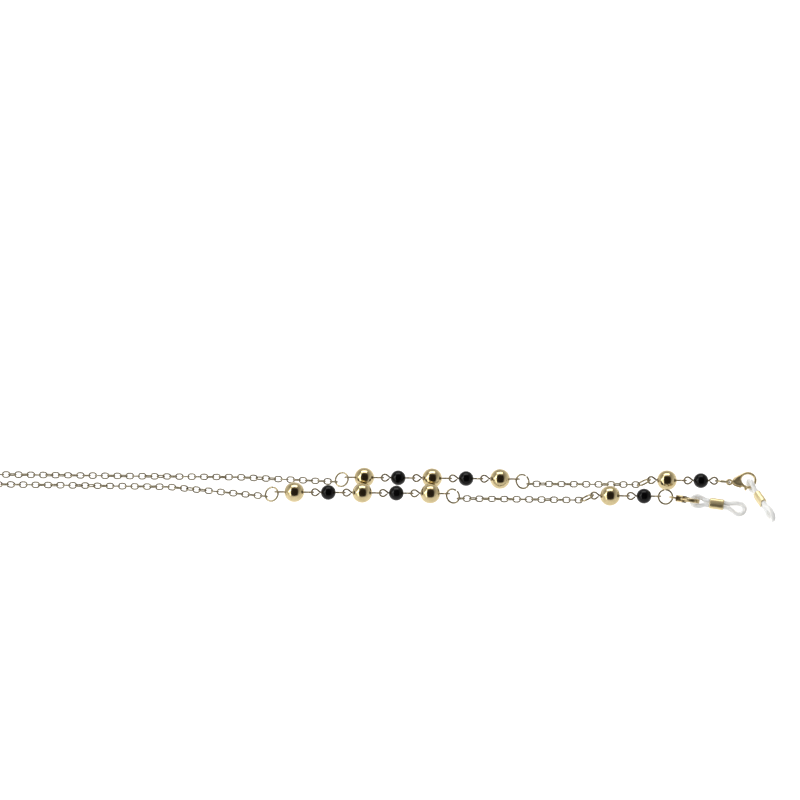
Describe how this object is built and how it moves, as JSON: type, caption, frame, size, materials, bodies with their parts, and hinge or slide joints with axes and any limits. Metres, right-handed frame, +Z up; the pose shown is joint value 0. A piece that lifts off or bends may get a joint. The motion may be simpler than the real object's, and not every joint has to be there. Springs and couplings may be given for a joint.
{
  "type": "eyeglass retainer strap",
  "caption": "Eyeglass retainer chain with gold and black beads, jump rings, lobster clasps and silicone temple loops, laid doubled on a table.",
  "frame": {"origin": "middle of the bounding box of the strap as it lies doubled, at the level of the table", "axes": "+X along the strands towards the temple loops, +Y from the right strand towards the left one, +Z up"},
  "size_m": [0.3644, 0.0233, 0.0085],
  "materials": {
    "gold_bead": "polished, pale gold plated",
    "black_bead": "glossy black",
    "pin_wire": "polished, pale gold plated",
    "ring_wire": "polished, pale gold plated",
    "chain_wire": "polished, champagne gold plated",
    "clasp": "polished cast, gold plated",
    "collar": "satin, gold plated",
    "silicone": "translucent milky silicone",
    "spring_steel": "drawn spring wire"
  },
  "bodies": {
    "nape_fold": {"nape_fold": "chain_wire"},
    "left_nape_5": {"left_nape_5": "chain_wire"},
    "left_nape_4": {"left_nape_4": "chain_wire"},
    "left_nape_3": {"left_nape_3": "chain_wire"},
    "left_nape_2": {"left_nape_2": "chain_wire"},
    "left_nape_1": {"left_nape_1": "chain_wire"},
    "left_ring_4": {"left_ring_4": "ring_wire"},
    "left_eye_pin_7": {"left_eye_pin_7": "pin_wire"},
    "left_gold_bead_4": {"left_gold_bead_4": "gold_bead"},
    "left_eye_pin_6": {"left_eye_pin_6": "pin_wire"},
    "left_black_bead_3": {"left_black_bead_3": "black_bead"},
    "left_eye_pin_5": {"left_eye_pin_5": "pin_wire"},
    "left_gold_bead_3": {"left_gold_bead_3": "gold_bead"},
    "left_eye_pin_4": {"left_eye_pin_4": "pin_wire"},
    "left_black_bead_2": {"left_black_bead_2": "black_bead"},
    "left_eye_pin_3": {"left_eye_pin_3": "pin_wire"},
    "left_gold_bead_2": {"left_gold_bead_2": "gold_bead"},
    "left_ring_3": {"left_ring_3": "ring_wire"},
    "left_short_chain": {"left_short_chain": "chain_wire"},
    "left_ring_2": {"left_ring_2": "ring_wire"},
    "left_eye_pin_2": {"left_eye_pin_2": "pin_wire"},
    "left_gold_bead_1": {"left_gold_bead_1": "gold_bead"},
    "left_eye_pin_1": {"left_eye_pin_1": "pin_wire"},
    "left_black_bead_1": {"left_black_bead_1": "black_bead"},
    "left_ring_1": {"left_ring_1": "ring_wire"},
    "left_clasp": {"left_clasp_body": "clasp", "left_clasp_pin": "clasp", "left_clasp_spring": "spring_steel"},
    "left_clasp_lever": {"left_clasp_lever": "clasp"},
    "left_temple_loop": {"left_temple_loop": "silicone"},
    "left_collar": {"left_collar": "collar"},
    "right_nape_4": {"right_nape_4": "chain_wire"},
    "right_nape_3": {"right_nape_3": "chain_wire"},
    "right_nape_2": {"right_nape_2": "chain_wire"},
    "right_nape_1": {"right_nape_1": "chain_wire"},
    "right_ring_4": {"right_ring_4": "ring_wire"},
    "right_eye_pin_7": {"right_eye_pin_7": "pin_wire"},
    "right_gold_bead_4": {"right_gold_bead_4": "gold_bead"},
    "right_eye_pin_6": {"right_eye_pin_6": "pin_wire"},
    "right_black_bead_3": {"right_black_bead_3": "black_bead"},
    "right_eye_pin_5": {"right_eye_pin_5": "pin_wire"},
    "right_gold_bead_3": {"right_gold_bead_3": "gold_bead"},
    "right_eye_pin_4": {"right_eye_pin_4": "pin_wire"},
    "right_black_bead_2": {"right_black_bead_2": "black_bead"},
    "right_eye_pin_3": {"right_eye_pin_3": "pin_wire"},
    "right_gold_bead_2": {"right_gold_bead_2": "gold_bead"},
    "right_ring_3": {"right_ring_3": "ring_wire"},
    "right_short_chain": {"right_short_chain": "chain_wire"},
    "right_ring_2": {"right_ring_2": "ring_wire"},
    "right_eye_pin_2": {"right_eye_pin_2": "pin_wire"},
    "right_gold_bead_1": {"right_gold_bead_1": "gold_bead"},
    "right_eye_pin_1": {"right_eye_pin_1": "pin_wire"},
    "right_black_bead_1": {"right_black_bead_1": "black_bead"},
    "right_ring_1": {"right_ring_1": "ring_wire"},
    "right_clasp": {"right_clasp_body": "clasp", "right_clasp_pin": "clasp", "right_clasp_spring": "spring_steel"},
    "right_clasp_lever": {"right_clasp_lever": "clasp"},
    "right_temple_loop": {"right_temple_loop": "silicone"},
    "right_collar": {"right_collar": "collar"}
  },
  "joints": [
    {"name": "left_nape_bend_5", "type": "hinge", "parent": "nape_fold", "child": "left_nape_5", "pos_m": [-0.17578, 0.01035, 0.00125], "axis": [0, 1, 0], "range_deg": [-40, 40]},
    {"name": "left_nape_bend_4", "type": "hinge", "parent": "left_nape_5", "child": "left_nape_4", "pos_m": [-0.14381, 0.00947, 0.00125], "axis": [0, -1, 0], "range_deg": [-40, 40]},
    {"name": "left_nape_bend_3", "type": "hinge", "parent": "left_nape_4", "child": "left_nape_3", "pos_m": [-0.10938, 0.00937, 0.00125], "axis": [0, 1, 0], "range_deg": [-40, 40]},
    {"name": "left_nape_bend_2", "type": "hinge", "parent": "left_nape_3", "child": "left_nape_2", "pos_m": [-0.07002, 0.00927, 0.00125], "axis": [0, -1, 0], "range_deg": [-40, 40]},
    {"name": "left_nape_bend_1", "type": "hinge", "parent": "left_nape_2", "child": "left_nape_1", "pos_m": [-0.03066, 0.00927, 0.00125], "axis": [0, 1, 0], "range_deg": [-40, 40]},
    {"name": "left_ring_4_swing", "type": "hinge", "parent": "left_nape_1", "child": "left_ring_4", "pos_m": [0.00852, 0.00732, 0.00125], "axis": [0, -1, 0], "range_deg": [-35, 35]},
    {"name": "left_eye_pin_7_swing", "type": "hinge", "parent": "left_ring_4", "child": "left_eye_pin_7", "pos_m": [0.01244, 0.00732, 0.004], "axis": [0, 1, 0], "range_deg": [-35, 35]},
    {"name": "left_gold_bead_4_spin", "type": "hinge", "parent": "left_eye_pin_7", "child": "left_gold_bead_4", "pos_m": [0.01952, 0.00732, 0.004], "axis": [1, 0, 0], "continuous": true},
    {"name": "left_eye_pin_6_swing", "type": "hinge", "parent": "left_eye_pin_7", "child": "left_eye_pin_6", "pos_m": [0.02675, 0.00732, 0.004], "axis": [0, -1, 0], "range_deg": [-40, 40]},
    {"name": "left_black_bead_3_spin", "type": "hinge", "parent": "left_eye_pin_6", "child": "left_black_bead_3", "pos_m": [0.03298, 0.00732, 0.004], "axis": [1, 0, 0], "continuous": true},
    {"name": "left_eye_pin_5_swing", "type": "hinge", "parent": "left_eye_pin_6", "child": "left_eye_pin_5", "pos_m": [0.03921, 0.00732, 0.004], "axis": [0, 1, 0], "range_deg": [-40, 40]},
    {"name": "left_gold_bead_3_spin", "type": "hinge", "parent": "left_eye_pin_5", "child": "left_gold_bead_3", "pos_m": [0.04644, 0.00732, 0.004], "axis": [1, 0, 0], "continuous": true},
    {"name": "left_eye_pin_4_swing", "type": "hinge", "parent": "left_eye_pin_5", "child": "left_eye_pin_4", "pos_m": [0.05367, 0.00732, 0.004], "axis": [0, -1, 0], "range_deg": [-40, 40]},
    {"name": "left_black_bead_2_spin", "type": "hinge", "parent": "left_eye_pin_4", "child": "left_black_bead_2", "pos_m": [0.0599, 0.00732, 0.004], "axis": [1, 0, 0], "continuous": true},
    {"name": "left_eye_pin_3_swing", "type": "hinge", "parent": "left_eye_pin_4", "child": "left_eye_pin_3", "pos_m": [0.06613, 0.00732, 0.004], "axis": [0, 1, 0], "range_deg": [-40, 40]},
    {"name": "left_gold_bead_2_spin", "type": "hinge", "parent": "left_eye_pin_3", "child": "left_gold_bead_2", "pos_m": [0.07336, 0.00732, 0.004], "axis": [1, 0, 0], "continuous": true},
    {"name": "left_ring_3_swing", "type": "hinge", "parent": "left_eye_pin_3", "child": "left_ring_3", "pos_m": [0.08044, 0.00732, 0.004], "axis": [0, -1, 0], "range_deg": [-35, 35]},
    {"name": "left_short_chain_swing", "type": "hinge", "parent": "left_ring_3", "child": "left_short_chain", "pos_m": [0.08437, 0.00732, 0.00125], "axis": [0, 1, 0], "range_deg": [-35, 35]},
    {"name": "left_ring_2_swing", "type": "hinge", "parent": "left_short_chain", "child": "left_ring_2", "pos_m": [0.12837, 0.00752, 0.00125], "axis": [0, -1, 0], "range_deg": [-35, 35]},
    {"name": "left_eye_pin_2_swing", "type": "hinge", "parent": "left_ring_2", "child": "left_eye_pin_2", "pos_m": [0.1324, 0.00752, 0.004], "axis": [0, 1, 0], "range_deg": [-35, 35]},
    {"name": "left_gold_bead_1_spin", "type": "hinge", "parent": "left_eye_pin_2", "child": "left_gold_bead_1", "pos_m": [0.13958, 0.00752, 0.004], "axis": [1, 0, 0], "continuous": true},
    {"name": "left_eye_pin_1_swing", "type": "hinge", "parent": "left_eye_pin_2", "child": "left_eye_pin_1", "pos_m": [0.14681, 0.00752, 0.004], "axis": [0, -1, 0], "range_deg": [-40, 40]},
    {"name": "left_black_bead_1_spin", "type": "hinge", "parent": "left_eye_pin_1", "child": "left_black_bead_1", "pos_m": [0.15304, 0.00752, 0.004], "axis": [1, 0, 0], "continuous": true},
    {"name": "left_ring_1_swing", "type": "hinge", "parent": "left_eye_pin_1", "child": "left_ring_1", "pos_m": [0.15922, 0.00752, 0.004], "axis": [0, 1, 0], "range_deg": [-35, 35]},
    {"name": "left_clasp_swing", "type": "hinge", "parent": "left_ring_1", "child": "left_clasp", "pos_m": [0.16433, 0.00752, 0.0033], "axis": [0, -1, 0], "range_deg": [-35, 35]},
    {"name": "left_lever_hinge", "type": "hinge", "parent": "left_clasp", "child": "left_clasp_lever", "pos_m": [0.16831, 0.00707, 0.00303], "axis": [0.0127, -0.4236, 0.9058], "range_deg": [0, 11], "stiffness_Nm_per_rad": 0.0002, "springref_deg": -8.59},
    {"name": "left_temple_loop_swing", "type": "hinge", "parent": "left_clasp", "child": "left_temple_loop", "pos_m": [0.17168, 0.0083, 0.00356], "axis": [0.0127, -0.4236, 0.9058], "range_deg": [-9, 126]},
    {"name": "left_collar_slide", "type": "slide", "parent": "left_temple_loop", "child": "left_collar", "axis": [0.4384, -0.8988, 0], "range_m": [-0.001, 0.001]},
    {"name": "right_nape_bend_4", "type": "hinge", "parent": "nape_fold", "child": "right_nape_4", "pos_m": [-0.17578, -0.00071, 0.00125], "axis": [0, 1, 0], "range_deg": [-40, 40]},
    {"name": "right_nape_bend_3", "type": "hinge", "parent": "right_nape_4", "child": "right_nape_3", "pos_m": [-0.13673, 0.00417, 0.00125], "axis": [0, -1, 0], "range_deg": [-40, 40]},
    {"name": "right_nape_bend_2", "type": "hinge", "parent": "right_nape_3", "child": "right_nape_2", "pos_m": [-0.09737, 0.00397, 0.00125], "axis": [0, 1, 0], "range_deg": [-40, 40]},
    {"name": "right_nape_bend_1", "type": "hinge", "parent": "right_nape_2", "child": "right_nape_1", "pos_m": [-0.05801, 0.00367, 0.00125], "axis": [0, -1, 0], "range_deg": [-40, 40]},
    {"name": "right_ring_4_swing", "type": "hinge", "parent": "right_nape_1", "child": "right_ring_4", "pos_m": [-0.01905, -0.00088, 0.00125], "axis": [0, 1, 0], "range_deg": [-35, 35]},
    {"name": "right_eye_pin_7_swing", "type": "hinge", "parent": "right_ring_4", "child": "right_eye_pin_7", "pos_m": [-0.01512, -0.00088, 0.004], "axis": [0, -1, 0], "range_deg": [-35, 35]},
    {"name": "right_gold_bead_4_spin", "type": "hinge", "parent": "right_eye_pin_7", "child": "right_gold_bead_4", "pos_m": [-0.00804, -0.00088, 0.004], "axis": [1, 0, 0], "continuous": true},
    {"name": "right_eye_pin_6_swing", "type": "hinge", "parent": "right_eye_pin_7", "child": "right_eye_pin_6", "pos_m": [-0.00081, -0.00088, 0.004], "axis": [0, 1, 0], "range_deg": [-40, 40]},
    {"name": "right_black_bead_3_spin", "type": "hinge", "parent": "right_eye_pin_6", "child": "right_black_bead_3", "pos_m": [0.00542, -0.00088, 0.004], "axis": [1, 0, 0], "continuous": true},
    {"name": "right_eye_pin_5_swing", "type": "hinge", "parent": "right_eye_pin_6", "child": "right_eye_pin_5", "pos_m": [0.01165, -0.00088, 0.004], "axis": [0, -1, 0], "range_deg": [-40, 40]},
    {"name": "right_gold_bead_3_spin", "type": "hinge", "parent": "right_eye_pin_5", "child": "right_gold_bead_3", "pos_m": [0.01888, -0.00088, 0.004], "axis": [1, 0, 0], "continuous": true},
    {"name": "right_eye_pin_4_swing", "type": "hinge", "parent": "right_eye_pin_5", "child": "right_eye_pin_4", "pos_m": [0.02611, -0.00088, 0.004], "axis": [0, 1, 0], "range_deg": [-40, 40]},
    {"name": "right_black_bead_2_spin", "type": "hinge", "parent": "right_eye_pin_4", "child": "right_black_bead_2", "pos_m": [0.03234, -0.00088, 0.004], "axis": [1, 0, 0], "continuous": true},
    {"name": "right_eye_pin_3_swing", "type": "hinge", "parent": "right_eye_pin_4", "child": "right_eye_pin_3", "pos_m": [0.03857, -0.00088, 0.004], "axis": [0, -1, 0], "range_deg": [-40, 40]},
    {"name": "right_gold_bead_2_spin", "type": "hinge", "parent": "right_eye_pin_3", "child": "right_gold_bead_2", "pos_m": [0.0458, -0.00088, 0.004], "axis": [1, 0, 0], "continuous": true},
    {"name": "right_ring_3_swing", "type": "hinge", "parent": "right_eye_pin_3", "child": "right_ring_3", "pos_m": [0.05288, -0.00088, 0.004], "axis": [0, 1, 0], "range_deg": [-35, 35]},
    {"name": "right_short_chain_swing", "type": "hinge", "parent": "right_ring_3", "child": "right_short_chain", "pos_m": [0.0568, -0.00088, 0.00125], "axis": [0, -1, 0], "range_deg": [-35, 35]},
    {"name": "right_ring_2_swing", "type": "hinge", "parent": "right_short_chain", "child": "right_ring_2", "pos_m": [0.10572, -0.00108, 0.00125], "axis": [0, 1, 0], "range_deg": [-35, 35]},
    {"name": "right_eye_pin_2_swing", "type": "hinge", "parent": "right_ring_2", "child": "right_eye_pin_2", "pos_m": [0.10975, -0.00108, 0.004], "axis": [0, -1, 0], "range_deg": [-35, 35]},
    {"name": "right_gold_bead_1_spin", "type": "hinge", "parent": "right_eye_pin_2", "child": "right_gold_bead_1", "pos_m": [0.11693, -0.00108, 0.004], "axis": [1, 0, 0], "continuous": true},
    {"name": "right_eye_pin_1_swing", "type": "hinge", "parent": "right_eye_pin_2", "child": "right_eye_pin_1", "pos_m": [0.12416, -0.00108, 0.004], "axis": [0, 1, 0], "range_deg": [-40, 40]},
    {"name": "right_black_bead_1_spin", "type": "hinge", "parent": "right_eye_pin_1", "child": "right_black_bead_1", "pos_m": [0.13039, -0.00108, 0.004], "axis": [1, 0, 0], "continuous": true},
    {"name": "right_ring_1_swing", "type": "hinge", "parent": "right_eye_pin_1", "child": "right_ring_1", "pos_m": [0.13657, -0.00108, 0.004], "axis": [0, -1, 0], "range_deg": [-35, 35]},
    {"name": "right_clasp_swing", "type": "hinge", "parent": "right_ring_1", "child": "right_clasp", "pos_m": [0.14169, -0.00108, 0.00335], "axis": [0, 1, 0], "range_deg": [-35, 35]},
    {"name": "right_lever_hinge", "type": "hinge", "parent": "right_clasp", "child": "right_clasp_lever", "pos_m": [0.14546, -0.00233, 0.00391], "axis": [0.1379, 0.7186, 0.6816], "range_deg": [0, 11], "stiffness_Nm_per_rad": 0.0002, "springref_deg": -8.59},
    {"name": "right_temple_loop_swing", "type": "hinge", "parent": "right_clasp", "child": "right_temple_loop", "pos_m": [0.14899, -0.00223, 0.00309], "axis": [0.1379, 0.7186, 0.6816], "range_deg": [-75, 60]},
    {"name": "right_collar_slide", "type": "slide", "parent": "right_temple_loop", "child": "right_collar", "axis": [0.9875, -0.1564, -0.0175], "range_m": [-0.001, 0.001]}
  ]
}
